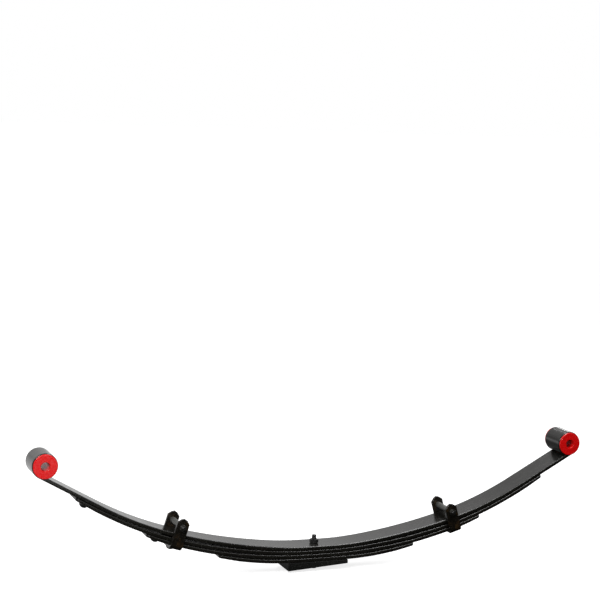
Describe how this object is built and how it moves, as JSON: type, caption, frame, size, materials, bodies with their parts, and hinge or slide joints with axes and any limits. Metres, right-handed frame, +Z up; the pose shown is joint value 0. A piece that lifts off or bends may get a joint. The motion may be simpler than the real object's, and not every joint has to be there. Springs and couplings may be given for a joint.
{
  "type": "leaf spring",
  "caption": "Arched multi-leaf suspension spring with upturned bushed eyes, rebound clips, centre bolt and tapered axle shim.",
  "frame": {"origin": "centre of the end face of the locating head, on the centre bolt's axis, which drops into the axle's spring seat", "axes": "+X along the spring towards the thin end of the axle shim (vehicle front), +Y across the leaves towards the clip bolts' heads, +Z up, from the axle to the vehicle"},
  "size_m": [1.2718, 0.0934, 0.2871],
  "materials": {
    "leaf_paint": "semi-gloss black paint on spring steel",
    "shim_steel": "satin black paint on steel",
    "clip_paint": "gloss black paint over brownish steel",
    "bolt_black": "black oxide, satin",
    "zinc": "dull zinc plating",
    "red_poly": "moulded red polyurethane, soft gloss",
    "pad_nylon": "moulded black nylon"
  },
  "bodies": {
    "leaf_pack": {"main_leaf": "leaf_paint", "second_leaf": "leaf_paint", "third_leaf": "leaf_paint", "fourth_leaf": "leaf_paint", "axle_shim": "shim_steel", "center_bolt": "bolt_black", "center_bolt_nut": "bolt_black", "rear_third_leaf_pad": "pad_nylon", "front_third_leaf_pad": "pad_nylon"},
    "front_end": {"front_second_leaf_pad": "pad_nylon"},
    "front_bushing": {"front_bushing_near": "red_poly", "front_bushing_far": "red_poly"},
    "front_clip": {"front_clip_strap": "clip_paint", "front_clip_rivet": "clip_paint", "front_clip_bolt": "bolt_black", "front_clip_nut": "bolt_black", "front_clip_spacer": "zinc"},
    "rear_end": {"rear_second_leaf_pad": "pad_nylon"},
    "rear_bushing": {"rear_bushing_near": "red_poly", "rear_bushing_far": "red_poly"},
    "rear_clip": {"rear_clip_strap": "clip_paint", "rear_clip_rivet": "clip_paint", "rear_clip_bolt": "bolt_black", "rear_clip_nut": "bolt_black", "rear_clip_spacer": "zinc"}
  },
  "joints": [
    {"name": "front_half_flex", "type": "hinge", "parent": "leaf_pack", "child": "front_end", "pos_m": [0.152, 0, 0.051], "axis": [0, 1, 0], "range_deg": [-2, 20], "stiffness_Nm_per_rad": 3500, "deforming": ["main_leaf", "second_leaf", "third_leaf", "fourth_leaf"]},
    {"name": "front_clip_follow", "type": "hinge", "parent": "leaf_pack", "child": "front_clip", "pos_m": [0.22989, 0, 0.0576], "axis": [0, 1, 0], "range_deg": [-2.1, 20.6], "deforming": ["main_leaf", "second_leaf", "third_leaf", "fourth_leaf"]},
    {"name": "front_bushing_turn", "type": "hinge", "parent": "front_end", "child": "front_bushing", "pos_m": [0.60879, 0, 0.25992], "axis": [0, 1, 0], "continuous": true},
    {"name": "rear_half_flex", "type": "hinge", "parent": "leaf_pack", "child": "rear_end", "pos_m": [-0.152, 0, 0.051], "axis": [0, -1, 0], "range_deg": [-2, 20], "stiffness_Nm_per_rad": 3500, "deforming": ["main_leaf", "second_leaf", "third_leaf", "fourth_leaf"]},
    {"name": "rear_clip_follow", "type": "hinge", "parent": "leaf_pack", "child": "rear_clip", "pos_m": [-0.22989, 0, 0.0576], "axis": [0, -1, 0], "range_deg": [-2.1, 20.6], "deforming": ["main_leaf", "second_leaf", "third_leaf", "fourth_leaf"]},
    {"name": "rear_bushing_turn", "type": "hinge", "parent": "rear_end", "child": "rear_bushing", "pos_m": [-0.60879, 0, 0.25992], "axis": [0, 1, 0], "continuous": true}
  ],
  "couplings": [
    {"joint": "front_clip_follow", "follows": "front_half_flex", "ratio": 1.0275},
    {"joint": "rear_clip_follow", "follows": "rear_half_flex", "ratio": 1.0275}
  ]
}
